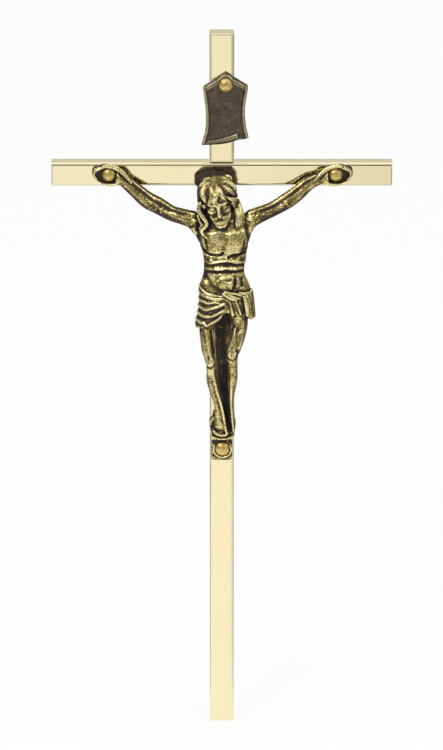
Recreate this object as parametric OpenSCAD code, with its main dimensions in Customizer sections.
// Wall crucifix: two polished brass bars half-lapped together, a cast corpus and
// a scroll-shaped plaque, all held by domed nails that are riveted over at the back.
// +Z is up, the front faces -Y, and the back lies on the plane y = 0.
// The origin is the middle of the crossing, on the back.

/* [Cross] */
// Height of the upright
upright_h = 254; // [235:1:300]
// Length of the crossbar
crossbar_w = 114.3; // [105:0.1:135]
// Height of the upright's top above the crossbar's centre line
top_arm_h = 49.5; // [47.5:0.1:56]
// Width of the bar stock, seen from the front
bar_w = 8.2; // [7.9:0.1:9.5]
// Depth of the bar stock, from front to back
bar_d = 5.4; // [5.2:0.1:7]
// Radius of the stock's long edges
bar_edge_r = 1.05; // [0.6:0.05:1.2]
// Radius of the edges round the bars' ends and the notch's mouth
end_edge_r = 0.5; // [0.2:0.05:0.8]
// Height of the bevel across the front of the foot
foot_bevel_h = 3.3; // [1:0.1:5]
// Depth of the bevel across the front of the foot
foot_bevel_d = 1.9; // [0.8:0.1:2.6]
// Gap round the half lap, filled by solder
lap_gap = 0.05; // [0.02:0.01:0.12]

/* [Nails] */
// Diameter of the head of the nails through the hands
hand_nail_head_d = 4.9; // [4:0.1:5.2]
// Diameter of the head of the nail below the feet
foot_nail_head_d = 5; // [4:0.1:5.4]
// Diameter of the head of the nail through the plaque
plaque_nail_head_d = 4.6; // [4:0.1:5.2]
// Diameter of every nail's shank
nail_shank_d = 1.8; // [1.4:0.1:2.2]
// Height of the dome on every nail's head
nail_dome_h = 1.1; // [0.8:0.1:1.5]
// Height of the straight rim under the dome
nail_rim_h = 0.3; // [0.2:0.05:0.5]
// Diameter of the riveted tail, flush with the back
nail_tail_d = 2.8; // [2.6:0.1:3.2]
// Depth of the countersink that the tail fills
nail_tail_h = 0.7; // [0.5:0.05:1]
// Radial clearance round a nail that holds still
nail_gap = 0.03; // [0.01:0.01:0.06]
// Depth of the tail below the back, so that the back lies flat
tail_sink = 0.03; // [0.01:0.01:0.1]

/* [Corpus] */
// Distance between the two hand nails
hand_span = 76; // [70:0.5:84]
// Height of the hand nails above the crossbar's centre line
hand_level = 0.5; // [-0.5:0.1:1]
// Distance from the hand nails down to the nail below the feet
figure_h = 99.7; // [94:0.1:110]
// How far the figure stands out from the front of the cross
figure_out = 18.8; // [16:0.5:22]
// Sideways shift of the figure on the cross
figure_shift = 0.2; // [-0.4:0.1:0.6]
// Thickness of the forearms, which sets the girth of every limb
limb_t = 5.5; // [4.8:0.1:6]
// Height of the head from chin to crown
head_h = 16.2; // [14.5:0.1:18]
// Forward tilt of the head
head_bow = 30; // [20:1:38]
// Sideways tilt of the head
head_lean = 8; // [0:1:12]
// Thickness of the metal under each hand nail's head
palm_t = 1.5; // [1.2:0.1:2]
// Width of the lug below the feet
lug_w = 6.8; // [6.4:0.1:7.6]
// Distance from the foot nail to the bottom of the lug
lug_drop = 4.1; // [3.6:0.1:5]
// Distance from the foot nail up into the block under the feet
lug_rise = 8.5; // [8:0.1:9]
// Thickness of the lug
lug_t = 1.4; // [1.2:0.1:2]
// Width of the raised edge round the lug
lug_rim = 0.7; // [0.4:0.1:0.7]
// Gap between the casting and the cross
seat_gap = 0.02; // [0.01:0.01:0.05]

/* [Plaque] */
// Width of the plaque across its shoulders
plaque_w = 15; // [13:0.1:17]
// Height of the plaque from its top point to its lowest corner
plaque_h = 25.8; // [22:0.1:28]
// Thickness of the plaque's plate
plaque_t = 0.9; // [0.7:0.1:1.4]
// Width of the raised rim round the plaque
plaque_rim_w = 0.7; // [0.5:0.1:0.9]
// Height of the raised rim above the plate
plaque_rim_h = 0.45; // [0.3:0.05:0.7]
// Diameter of the rolled edges at the top and the bottom
plaque_roll_d = 1.5; // [1.3:0.1:2]
// Distance from the upright's top down to the plaque's nail
plaque_top_drop = 17.5; // [16.5:0.1:19]
// Distance from the plaque's nail up to its top point
plaque_nail_drop = 4.6; // [4.2:0.1:5]
// Sideways shift of the plaque's nail on the upright
plaque_shift = 1.3; // [0:0.1:1.4]
// Clearance in front of and behind the plaque, which lets it swivel
plaque_gap = 0.1; // [0.05:0.01:0.2]
// Radial running clearance of the plaque on its nail
plaque_bore_gap = 0.05; // [0.02:0.01:0.1]

/* [Hanger] */
// Distance from the upright's top down to the hanger's hinge
hanger_top_drop = 8.1; // [7.7:0.1:8.3]
// Wire diameter of the hanging ring
ring_wire_d = 0.9; // [0.8:0.05:1]
// Clear width inside the ring
ring_eye_w = 3.8; // [3.6:0.1:3.9]
// Distance from the ring's straight leg to the far side of its bow, on the wire's centre line
ring_reach = 5.9; // [5.4:0.1:6]
// Radius of the ring's two bent corners, on the wire's centre line
ring_corner_r = 0.8; // [0.6:0.05:1]
// Thickness of the strap's brass strip
strap_t = 0.4; // [0.3:0.05:0.45]
// Distance from the hinge down to the end of the strap
strap_drop = 5; // [4.8:0.1:5.2]
// Radial running clearance of the ring in the strap's curl
hinge_gap = 0.05; // [0.02:0.01:0.08]
// Side clearance between ring, strap and pocket
hanger_gap = 0.2; // [0.15:0.05:0.25]
// Diameter of the rivet's head
rivet_head_d = 2.6; // [2.2:0.1:3]
// Diameter of the rivet's shank
rivet_shank_d = 1.5; // [1.2:0.1:1.8]
// Height of the rivet's domed head
rivet_head_h = 0.5; // [0.4:0.05:0.6]
// Depth of the rivet's shank in the upright
rivet_depth = 1.6; // [1.2:0.1:2]
// Depth of metal left clear between the hanger and the plane of the back
hanger_inset = 0.15; // [0.1:0.05:0.3]

/* [Hidden] */
$fn = 48;
// Overrun of every cut past the face that it goes through
over = 1;

front_y = -bar_d;
upright_foot = top_arm_h - upright_h;
plaque_nail_level = top_arm_h - plaque_top_drop;
hanger_level = top_arm_h - hanger_top_drop;
shank_r = nail_shank_d / 2;
tail_r = nail_tail_d / 2;

// Hanger, worked out from the ring's wire and the strap round it
wire_r = ring_wire_d / 2;
curl_in_r = wire_r + hinge_gap;
curl_r = curl_in_r + strap_t;
pocket_d = 2 * curl_r + seat_gap + hanger_inset;
hinge_y = seat_gap + curl_r - pocket_d;
strap_w = ring_eye_w - 2 * hanger_gap;
pocket_w = ring_eye_w + 2 * ring_wire_d + 2 * hanger_gap;
pocket_reach = ring_reach + wire_r + hanger_gap;
pocket_corner_r = pocket_w / 4;
rivet_z = hanger_level - strap_drop + rivet_head_d / 2 + hanger_gap;

// Figure: places as shares of half the hand span, the stand-out and the height
reach = hand_span / 2;
hand_nail_x = [figure_shift - reach, figure_shift + reach];
foot_nail_z = hand_level - figure_h;
palm_r = hand_nail_head_d / 2 * 1.45;
hand_seat_r = hand_nail_head_d / 2 + 2 * hanger_gap;

// Rows of across, out, down, half width and half depth. The last two are shares of limb_t.
left_arm_shares = [
    [-0.94, 0.08, 0.001, 0.47, 0.24], [-0.87, 0.12, 0.018, 0.44, 0.30], [-0.73, 0.19, 0.060, 0.49, 0.40],
    [-0.58, 0.26, 0.094, 0.51, 0.45], [-0.42, 0.33, 0.123, 0.47, 0.48], [-0.28, 0.40, 0.137, 0.60, 0.62],
    [-0.13, 0.42, 0.150, 0.70, 0.64], [-0.04, 0.40, 0.160, 0.40, 0.40]];
right_arm_shares = [
    [0.93, 0.08, -0.001, 0.47, 0.24], [0.85, 0.12, 0.010, 0.44, 0.30], [0.71, 0.19, 0.038, 0.49, 0.40],
    [0.57, 0.26, 0.080, 0.51, 0.45], [0.41, 0.33, 0.115, 0.47, 0.48], [0.28, 0.40, 0.129, 0.60, 0.62],
    [0.15, 0.42, 0.146, 0.70, 0.64], [0.06, 0.40, 0.160, 0.40, 0.40]];
torso_shares = [
    [0.00, 0.46, 0.105, 0.48, 0.48], [0.01, 0.44, 0.128, 0.90, 0.62], [0.02, 0.43, 0.155, 1.72, 0.80],
    [0.02, 0.44, 0.185, 1.74, 0.88], [0.02, 0.45, 0.215, 1.60, 0.93], [0.02, 0.45, 0.245, 1.44, 0.91],
    [0.03, 0.44, 0.280, 1.33, 0.84], [0.02, 0.42, 0.320, 1.29, 0.77], [0.02, 0.42, 0.350, 1.36, 0.80],
    [0.03, 0.43, 0.385, 1.62, 0.90], [0.03, 0.43, 0.430, 1.55, 0.86]];
left_leg_shares = [
    [-0.09, 0.42, 0.450, 0.74, 0.74], [-0.13, 0.47, 0.520, 0.58, 0.66], [-0.12, 0.56, 0.590, 0.48, 0.58],
    [-0.10, 0.61, 0.645, 0.37, 0.50], [-0.09, 0.55, 0.690, 0.34, 0.44], [-0.08, 0.47, 0.735, 0.36, 0.46],
    [-0.05, 0.39, 0.795, 0.31, 0.37], [-0.02, 0.33, 0.850, 0.29, 0.33], [0.01, 0.35, 0.885, 0.33, 0.28],
    [0.03, 0.38, 0.915, 0.29, 0.18]];
right_leg_shares = [
    [0.12, 0.42, 0.450, 0.74, 0.74], [0.13, 0.48, 0.525, 0.57, 0.66], [0.09, 0.64, 0.600, 0.41, 0.51],
    [0.09, 0.57, 0.645, 0.35, 0.45], [0.09, 0.47, 0.690, 0.37, 0.47], [0.06, 0.38, 0.760, 0.30, 0.37],
    [0.05, 0.29, 0.835, 0.28, 0.32], [0.05, 0.25, 0.885, 0.32, 0.27], [0.08, 0.27, 0.915, 0.29, 0.18]];
web_shares = [
    [0.01, 0.30, 0.480, 0.90, 0.42], [0.00, 0.30, 0.600, 0.68, 0.36], [0.01, 0.26, 0.720, 0.48, 0.30],
    [0.02, 0.20, 0.830, 0.30, 0.26], [0.02, 0.14, 0.900, 0.50, 0.30]];
cloth_shares = [
    [0.02, 0.43, 0.362, 1.56, 0.90], [0.03, 0.43, 0.385, 1.72, 1.02], [0.03, 0.44, 0.420, 1.76, 1.08],
    [0.03, 0.45, 0.455, 1.80, 1.12], [0.03, 0.46, 0.490, 1.88, 1.12], [0.03, 0.46, 0.505, 1.80, 1.02]];

function unit(v) = v / norm(v);
function place(row) = [row[0], row[1], row[2]];
// A row of shares as real sizes
function sized(row) = [
    figure_shift + row[0] * reach, front_y - row[1] * figure_out, hand_level - row[2] * figure_h,
    row[3] * limb_t, row[4] * limb_t];
// Curve through the rows of a table, as a Catmull-Rom spline
function between(p, i, t) = let (
    a = p[max(i - 1, 0)], b = p[i], c = p[i + 1], d = p[min(i + 2, len(p) - 1)])
    (2 * b + (c - a) * t + (2 * a - 5 * b + 4 * c - d) * t * t + (3 * b - a - 3 * c + d) * t * t * t) / 2;
function smooth(p, steps) = [
    for (i = [0:len(p) - 2]) for (k = [0:steps - 1]) between(p, i, k / steps), p[len(p) - 1]];
function along(rows, i) = unit(place(rows[min(i + 1, len(rows) - 1)]) - place(rows[max(i - 1, 0)]));
// One ring of points square to the curve, started at angle turn. relief swells or sinks it by angle and place.
function ring(row, dir, sides, turn, relief) = let (
    u = unit(cross(dir, [0, 1, 0])),
    v = unit(cross(u, dir)))
    [for (k = [0:sides - 1]) let (t = turn + 360 * k / sides, swell = 1 + relief(t))
        place(row) + (u * row[3] * cos(t) + v * row[4] * sin(t)) * swell];

// Closed skin over a list of rings, pointed at both ends at tips
module skin(rings, tips) {
    n = len(rings[0]);
    last = (len(rings) - 1) * n;
    tip = last + n;
    polyhedron(
        points = concat([for (r = rings) each r], tips),
        faces = concat(
            [for (k = [0:n - 1]) [tip, (k + 1) % n, k]],
            [for (i = [0:n:last - n]) for (k = [0:n - 1])
                each let (a = i + k, b = i + (k + 1) % n) [[a, b, b + n], [a, b + n, a + n]]],
            [for (k = [0:n - 1]) [tip + 1, last + k, last + (k + 1) % n]]));
}

// A limb: a smooth loft through a table of rows. Each ring turns a little on the last and the
// ends are blunt cones, so that no two triangles share a plane and the skins meet cleanly.
ring_turn = 2.3;
tip_share = 0.35;
module limb(rows, sides, steps, relief = function (i) function (t) 0) {
    s = smooth(rows, steps);
    last = len(s) - 1;
    skin([for (i = [0:last]) ring(s[i], along(s, i), sides, ring_turn * i, relief(i / last))],
        [for (i = [0, last]) place(s[i]) + along(s, i) * (i > 0 ? 1 : -1) * tip_share * min(s[i][3], s[i][4])]);
}

// Rectangle with round corners, made of true arcs
module round_rect(w, h, r) {
    square([w - 2 * r, h], center = true);
    square([w, h - 2 * r], center = true);
    for (x = [-1, 1], y = [-1, 1]) translate([x * (w / 2 - r), y * (h / 2 - r)]) circle(r);
}

// Length of bar stock along X, centred, with eased ends and its back on y = 0
module bar_stock(len) {
    intersection() {
        translate([0, -bar_d / 2, 0]) rotate([0, 90, 0]) linear_extrude(len, center = true)
            round_rect(bar_w, bar_d, bar_edge_r);
        translate([0, -bar_d / 2, 0]) linear_extrude(bar_w + 2 * over, center = true)
            round_rect(len, bar_d, end_edge_r);
    }
}

// A drill from front to back, with the countersink for a riveted tail
module nail_hole(x, z, gap) {
    translate([x, over, z]) rotate([90, 0, 0]) cylinder(r = shank_r + gap, h = bar_d + 2 * over);
    translate([x, 0, z]) rotate([90, 0, 0]) cylinder(r1 = tail_r + gap, r2 = shank_r + gap, h = nail_tail_h);
    translate([x, over, z]) rotate([90, 0, 0]) cylinder(r = tail_r + gap, h = over);
}

// A domed nail. seat is the distance from the back plane to the underside of its head.
module nail(x, z, seat, head_d) {
    dome_r = (head_d * head_d / 4 + nail_dome_h * nail_dome_h) / (2 * nail_dome_h);
    translate([x, 0, z]) rotate([90, 0, 0]) {
        translate([0, 0, tail_sink]) cylinder(r1 = tail_r, r2 = shank_r, h = nail_tail_h - tail_sink);
        translate([0, 0, tail_sink]) cylinder(r = shank_r, h = seat + nail_rim_h - tail_sink);
        translate([0, 0, seat]) cylinder(d = head_d, h = nail_rim_h);
        translate([0, 0, seat + nail_rim_h]) intersection() {
            cylinder(d = head_d, h = nail_dome_h);
            translate([0, 0, nail_dome_h - dome_r]) sphere(dome_r);
        }
    }
}

// Mouth of the upright's notch, in the plane seen from the side: straight walls with rounded edges
module notch_profile() {
    half = bar_w / 2 + lap_gap;
    translate([-bar_d - over, -half]) square([bar_d / 2 + over + lap_gap, 2 * half]);
    for (s = [-1, 1]) difference() {
        translate([-bar_d - over, s > 0 ? half : -half - end_edge_r])
            square([over + end_edge_r, end_edge_r]);
        translate([end_edge_r - bar_d, s * (half + end_edge_r)]) circle(end_edge_r);
    }
}

// Bevel across the front of the foot, seen from the side
module foot_bevel_profile() {
    slope = foot_bevel_h / foot_bevel_d;
    polygon([
        [-bar_d - over, upright_foot + foot_bevel_h + over * slope],
        [-bar_d - over, upright_foot - over],
        [foot_bevel_d - bar_d + over / slope, upright_foot - over]]);
}

module across(w) {
    rotate([90, 0, 90]) linear_extrude(w, center = true) children();
}

module upright() {
    color("gold") difference() {
        translate([0, 0, top_arm_h - upright_h / 2]) rotate([0, 90, 0]) bar_stock(upright_h);
        across(bar_w + 2 * over) notch_profile();
        across(bar_w + 2 * over) foot_bevel_profile();
        translate([0, over, hanger_level]) rotate([90, 0, 0]) linear_extrude(pocket_d + over)
            round_rect(pocket_w, 2 * pocket_reach, pocket_corner_r);
        translate([0, 0, rivet_z]) rotate([90, 0, 0])
            cylinder(d = rivet_shank_d + 2 * nail_gap, h = pocket_d + rivet_depth + nail_gap);
        nail_hole(plaque_shift, plaque_nail_level, nail_gap);
        nail_hole(figure_shift, foot_nail_z, nail_gap);
    }
}

module crossbar() {
    half = bar_w / 2 + lap_gap;
    color("gold") difference() {
        bar_stock(crossbar_w);
        translate([-half, -bar_d / 2, -bar_w / 2 - over])
            cube([2 * half, bar_d / 2 + over, bar_w + 2 * over]);
        for (x = hand_nail_x) nail_hole(x, hand_level, nail_gap);
    }
}

// Open palm with a flat back, four half-curled fingers and a thumb. side is -1 on the left.
finger_shares = [[1.18, 0.72, -18], [1.32, 0.62, -4], [1.30, 0.60, 10], [1.16, 0.56, 24]];
module hand(side) {
    finger_r = limb_t * 0.13;
    translate([figure_shift + side * reach, front_y, hand_level]) mirror([side > 0 ? 0 : 1, 0, 0]) {
        limb([
            [-palm_r * 0.95, -palm_t * 0.55, -palm_r * 0.05, palm_r * 0.72, palm_t * 0.62],
            [-palm_r * 0.45, -palm_t * 0.60, palm_r * 0.04, palm_r * 0.92, palm_t * 0.72],
            [palm_r * 0.15, -palm_t * 0.60, palm_r * 0.06, palm_r * 0.98, palm_t * 0.74],
            [palm_r * 0.75, -palm_t * 0.55, palm_r * 0.05, palm_r * 0.88, palm_t * 0.62],
            [palm_r * 1.05, -palm_t * 0.45, palm_r * 0.05, palm_r * 0.66, palm_t * 0.45]], 18, 2);
        for (f = finger_shares) rotate([0, f[2], 0]) limb([
            [palm_r * 0.55, -palm_t * 0.55, 0, finger_r, finger_r],
            [palm_r * f[0], -palm_t * 0.65, 0, finger_r, finger_r],
            [palm_r * (f[0] + 0.18), -palm_t * 1.25, 0, finger_r * 0.95, finger_r * 0.95],
            [palm_r * (f[0] - 0.12), -palm_t * 1.75, 0, finger_r * 0.7, finger_r * 0.7]], 7, 2);
        limb([
            [-palm_r * 0.55, -palm_t * 0.7, palm_r * 0.6, finger_r * 1.2, finger_r * 1.2],
            [-palm_r * 0.05, -palm_t * 1.05, palm_r * 1.02, finger_r * 1.1, finger_r * 1.1],
            [palm_r * 0.55, -palm_t * 1.15, palm_r * 1.08, finger_r * 0.8, finger_r * 0.8]], 7, 2);
    }
}

// Chest and belly stand out, with a groove down the middle and an arch under the ribs
function torso_relief(u) = function (t) let (
    front = max(0, -sin(t)),
    side = cos(t),
    chest = 0.15 * exp(-pow((u - 0.36) / 0.10, 2)) * exp(-pow((abs(side) - 0.42) / 0.3, 2)),
    arch = -0.15 * exp(-pow((u - 0.56 - 0.12 * abs(side)) / 0.035, 2)),
    belly = 0.10 * exp(-pow((u - 0.84) / 0.09, 2)) * exp(-pow(side / 0.4, 2)),
    groove = -0.09 * exp(-pow(side / 0.09, 2)) * exp(-pow((u - 0.45) / 0.25, 2)))
    front * (chest + arch + belly + groove);

// Folds that sweep round the cloth and hang at its right side
function cloth_relief(u) = function (t) 0.05 * sin(3 * t + 1100 * u) * (0.5 + u) + 0.03 * cos(8 * t + 200 * u);

module cloth() {
    limb([for (r = cloth_shares) sized(r)], 40, 2, function (u) cloth_relief(u));
    // Twisted belt, from the left hip to the knot and on to the right hip
    belt_r = limb_t * 0.17;
    limb([for (r = [
        [-0.20, 0.46, 0.368, 1], [-0.15, 0.67, 0.382, 1.05], [-0.05, 0.80, 0.392, 1.1], [0.06, 0.82, 0.394, 1.15],
        [0.16, 0.72, 0.384, 1.05], [0.25, 0.50, 0.376, 1]])
        concat(place(sized([r[0], r[1], r[2], 0, 0])), [belt_r * r[3], belt_r * r[3]])], 8, 3);
    // Knot
    limb([for (r = [
        [0.02, 0.80, 0.385, 0.5], [0.06, 0.86, 0.392, 1.3], [0.11, 0.86, 0.398, 1.4], [0.15, 0.78, 0.402, 0.6]])
        concat(place(sized([r[0], r[1], r[2], 0, 0])), [belt_r * r[3], belt_r * r[3]])], 10, 3);
    // Loose end of the cloth, which hangs in folds at the right hip
    for (k = [0:3]) limb([for (r = [
        [0.10, 0.78, 0.395, 0.9], [0.11, 0.80, 0.430, 1.2], [0.12, 0.78, 0.465, 1.3], [0.12, 0.74, 0.492, 0.9]])
        concat(place(sized([r[0] + k * 0.045, r[1] - k * 0.07, r[2], 0, 0])),
            [belt_r * r[3], belt_r * r[3]])], 8, 3);
}

// Head, in its own upright frame with the origin at its middle, sized by head_h
hair_grooves = 11;
function hair_relief(u) = function (t) 0.045 * cos(hair_grooves * t + 160 * sin(180 * u)) * sin(180 * u);
module head() {
    h = head_h;
    // Hair
    limb([for (r = [
        [0, 0.13, -0.50, 0.30, 0.22], [0, 0.10, -0.34, 0.42, 0.32], [0, 0.05, -0.12, 0.44, 0.38],
        [0, 0.02, 0.10, 0.43, 0.40], [0, 0.01, 0.28, 0.36, 0.36], [0, 0.01, 0.42, 0.22, 0.23],
        [0, 0.01, 0.49, 0.06, 0.06]]) r * h], 44, 2, function (u) hair_relief(u));
    // Face, on the usual proportions: eyes half way down, nose half way from brow to chin
    limb([for (r = [
        [0, -0.20, -0.50, 0.10, 0.10], [0, -0.19, -0.42, 0.20, 0.18], [0, -0.17, -0.25, 0.26, 0.23],
        [0, -0.16, -0.05, 0.28, 0.25], [0, -0.16, 0.10, 0.27, 0.24], [0, -0.12, 0.26, 0.24, 0.22]]) r * h], 20, 2);
    // Nose and brow
    limb([for (r = [
        [0, -0.38, 0.02, 0.028, 0.035], [0, -0.42, -0.08, 0.04, 0.05], [0, -0.43, -0.16, 0.055, 0.055],
        [0, -0.37, -0.20, 0.05, 0.03]]) r * h], 8, 2);
    for (s = [-1, 1]) limb([for (r = [
        [s * 0.03, -0.39, 0.03, 0.025, 0.03], [s * 0.12, -0.38, 0.055, 0.03, 0.035],
        [s * 0.21, -0.29, 0.03, 0.02, 0.03]]) r * h], 7, 2);
    // Beard
    limb([for (r = [
        [0, -0.19, -0.24, 0.27, 0.20], [0, -0.22, -0.38, 0.25, 0.20], [0, -0.25, -0.52, 0.18, 0.16],
        [0, -0.25, -0.62, 0.07, 0.08]]) r * h], 22, 2, function (u) function (t) 0.05 * cos(9 * t) * u);
    // Long locks on both shoulders
    for (s = [-1, 1], k = [0:2]) limb([for (r = [
        [0.34, 0.00, 0.05, 0.09], [0.43, -0.02, -0.18, 0.10], [0.42, -0.03, -0.40, 0.10],
        [0.36, -0.04, -0.58, 0.08], [0.33, -0.04, -0.70, 0.03]])
        [s * (r[0] - k * 0.03), r[1] - 0.07 * k, r[2] + 0.05 * k, r[3], r[3]] * h], 7, 2);
    // Curl at the crown
    limb([for (a = [-30:45:285]) let (c = 0.085, w = 0.055)
        [0.20 + c * cos(a), -0.02 - 0.08 * a / 285, 0.42 + c * sin(a), w, w] * h], 7, 1);
}

module footrest() {
    // Slanting block under the soles
    limb([for (r = [
        [0.005, 0.10, 0.868, 0.74, 0.35], [0.005, 0.14, 0.885, 0.80, 0.50], [0.005, 0.15, 0.925, 0.80, 0.55],
        [0.005, 0.10, 0.940, 0.70, 0.36]]) sized(r)], 20, 2, function (u) function (t) 0.16 * pow(sin(2 * t), 2));
    // Lug for the nail, with a raised edge
    translate([figure_shift, front_y, foot_nail_z]) rotate([90, 0, 0]) {
        translate([-lug_w / 2, -lug_drop, seat_gap]) cube([lug_w, lug_drop + lug_rise, lug_t]);
        difference() {
            translate([-lug_w / 2, -lug_drop, seat_gap]) cube([lug_w, lug_drop + lug_rise, lug_t + lug_rim]);
            translate([lug_rim - lug_w / 2, lug_rim - lug_drop, seat_gap])
                cube([lug_w - 2 * lug_rim, lug_drop + lug_rise - 2 * lug_rim, lug_t + lug_rim + over]);
        }
    }
}

// The whole figure as one skin, at its own size
module figure() {
    resize([0, 0, 0]) difference() {
        union() {
            limb([for (r = torso_shares) sized(r)], 34, 2, function (u) torso_relief(u));
            limb([for (r = left_arm_shares) sized(r)], 14, 2);
            limb([for (r = right_arm_shares) sized(r)], 14, 2);
            limb([for (r = left_leg_shares) sized(r)], 14, 2);
            limb([for (r = right_leg_shares) sized(r)], 14, 2);
            limb([for (r = web_shares) sized(r)], 12, 2);
            hand(-1);
            hand(1);
            cloth();
            translate(place(sized([-0.035, 0.58, 0.040, 0, 0])))
                rotate([0, -head_lean, 0]) rotate([head_bow, 0, 0]) head();
            footrest();
        }
        // Flat back against the cross
        translate([-hand_span, front_y - seat_gap, -2 * figure_h]) cube([2 * hand_span, figure_out, 3 * figure_h]);
    }
}

module corpus() {
    color("darkgoldenrod") difference() {
        figure();
        for (x = hand_nail_x) translate([x, front_y + over, hand_level]) rotate([90, 0, 0]) {
            cylinder(r = shank_r + nail_gap, h = figure_out);
            translate([0, 0, over + palm_t]) cylinder(r = hand_seat_r, h = figure_out);
        }
        translate([figure_shift, front_y + over, foot_nail_z]) rotate([90, 0, 0])
            cylinder(r = shank_r + nail_gap, h = figure_out);
    }
}

// Outline of the plaque as shares of its width and height, from the top point clockwise.
// The sides draw in between the shoulders and the feet.
plaque_outline_shares = [
    [0, 0], [0.24, -0.10], [0.49, -0.19], [0.45, -0.32], [0.42, -0.48], [0.43, -0.66], [0.48, -0.80],
    [0.52, -0.90], [0.34, -0.915], [0.17, -0.94], [-0.06, -0.975], [-0.30, -0.99], [-0.55, -1.00],
    [-0.49, -0.89], [-0.45, -0.76], [-0.43, -0.60], [-0.43, -0.42], [-0.47, -0.28], [-0.50, -0.195], [-0.25, -0.09]];
function plaque_point(s) = [s[0] * plaque_w, plaque_nail_drop + s[1] * plaque_h];

// Rolled edge along some points of the outline
module roll(points) {
    roll_r = plaque_roll_d / 2;
    limb([for (i = points) let (p = plaque_point(plaque_outline_shares[i]))
        [p[0], p[1] + roll_r / 3, plaque_t * 0.55, roll_r, roll_r]], 8, 1);
}

module plaque() {
    outline = [for (s = plaque_outline_shares) plaque_point(s)];
    middle = plaque_point([0, -0.5]);
    shrink = [1 - 2 * plaque_rim_w / plaque_w, 1 - 2 * plaque_rim_w / plaque_h];
    inner = [for (p = outline) [for (i = [0, 1]) middle[i] + (p[i] - middle[i]) * shrink[i]]];
    back = bar_d + plaque_gap;
    color("dimgray") translate([plaque_shift, 0, plaque_nail_level]) rotate([90, 0, 0]) difference() {
        translate([0, 0, back]) union() {
            linear_extrude(plaque_t) polygon(outline);
            linear_extrude(plaque_t + plaque_rim_h) difference() {
                polygon(outline);
                polygon(inner);
            }
            roll([18, 19, 0, 1, 2]);
            roll([12, 11, 10, 9, 8, 7]);
        }
        cylinder(r = shank_r + plaque_bore_gap, h = back + plaque_t + over);
        // Flat seat for the nail's head, and a flat back
        translate([0, 0, back + plaque_t])
            cylinder(d = plaque_nail_head_d + 2 * plaque_gap, h = plaque_roll_d + over);
        translate([-plaque_w, -plaque_h, back - plaque_roll_d - over])
            cube([2 * plaque_w, 2 * plaque_h, plaque_roll_d + over]);
    }
}

module nail_left_hand() {
    color("goldenrod") nail(hand_nail_x[0], hand_level, bar_d + palm_t + seat_gap, hand_nail_head_d);
}

module nail_right_hand() {
    color("goldenrod") nail(hand_nail_x[1], hand_level, bar_d + palm_t + seat_gap, hand_nail_head_d);
}

module nail_feet() {
    color("goldenrod") nail(figure_shift, foot_nail_z, bar_d + lug_t + 2 * seat_gap, foot_nail_head_d);
}

module nail_plaque() {
    color("goldenrod")
        nail(plaque_shift, plaque_nail_level, bar_d + plaque_t + 2 * plaque_gap, plaque_nail_head_d);
}

// Strip of brass curled round the ring's straight leg and riveted below it
module hanger_strap() {
    floor_y = seat_gap - pocket_d;
    color("goldenrod") difference() {
        union() {
            translate([0, hinge_y, hanger_level]) rotate([0, 90, 0]) cylinder(r = curl_r, h = strap_w, center = true);
            translate([-strap_w / 2, floor_y, hanger_level - strap_drop]) cube([strap_w, strap_t, strap_drop]);
        }
        translate([0, hinge_y, hanger_level]) rotate([0, 90, 0])
            cylinder(r = curl_in_r, h = strap_w + over, center = true);
        translate([0, over, rivet_z]) rotate([90, 0, 0]) cylinder(d = rivet_shank_d + 2 * nail_gap, h = pocket_d + 2 * over);
    }
}

module hanger_rivet() {
    head_y = strap_t + 2 * seat_gap - pocket_d;
    dome_r = (rivet_head_d * rivet_head_d / 4 + rivet_head_h * rivet_head_h) / (2 * rivet_head_h);
    color("goldenrod") translate([0, head_y, rivet_z]) rotate([-90, 0, 0]) {
        intersection() {
            cylinder(d = rivet_head_d, h = rivet_head_h);
            translate([0, 0, rivet_head_h - dome_r]) sphere(dome_r);
        }
        translate([0, 0, -head_y - pocket_d - rivet_depth])
            cylinder(d = rivet_shank_d, h = head_y + pocket_d + rivet_depth + rivet_head_h / 2);
    }
}

// D-shaped ring: straight leg in the curl, two sides and a round bow
module hanger_ring() {
    half = (ring_eye_w + ring_wire_d) / 2;
    leg = 2 * (half - ring_corner_r);
    side = ring_reach - half - ring_corner_r;
    color("goldenrod") translate([0, hinge_y, hanger_level]) {
        rotate([0, 90, 0]) cylinder(r = wire_r, h = leg, center = true);
        for (s = [-1, 1]) {
            translate([s * half, 0, -ring_corner_r - side]) cylinder(r = wire_r, h = side);
            translate([s * leg / 2, 0, -ring_corner_r]) rotate([90, 0, 0]) rotate([0, 0, s > 0 ? 0 : 90])
                rotate_extrude(angle = 90) translate([ring_corner_r, 0]) circle(wire_r);
        }
        translate([0, 0, half - ring_reach]) rotate([90, 0, 0]) rotate([0, 0, 180])
            rotate_extrude(angle = 180) translate([half, 0]) circle(wire_r);
    }
}

upright();
crossbar();
corpus();
plaque();
nail_left_hand();
nail_right_hand();
nail_feet();
nail_plaque();
hanger_strap();
hanger_rivet();
hanger_ring();
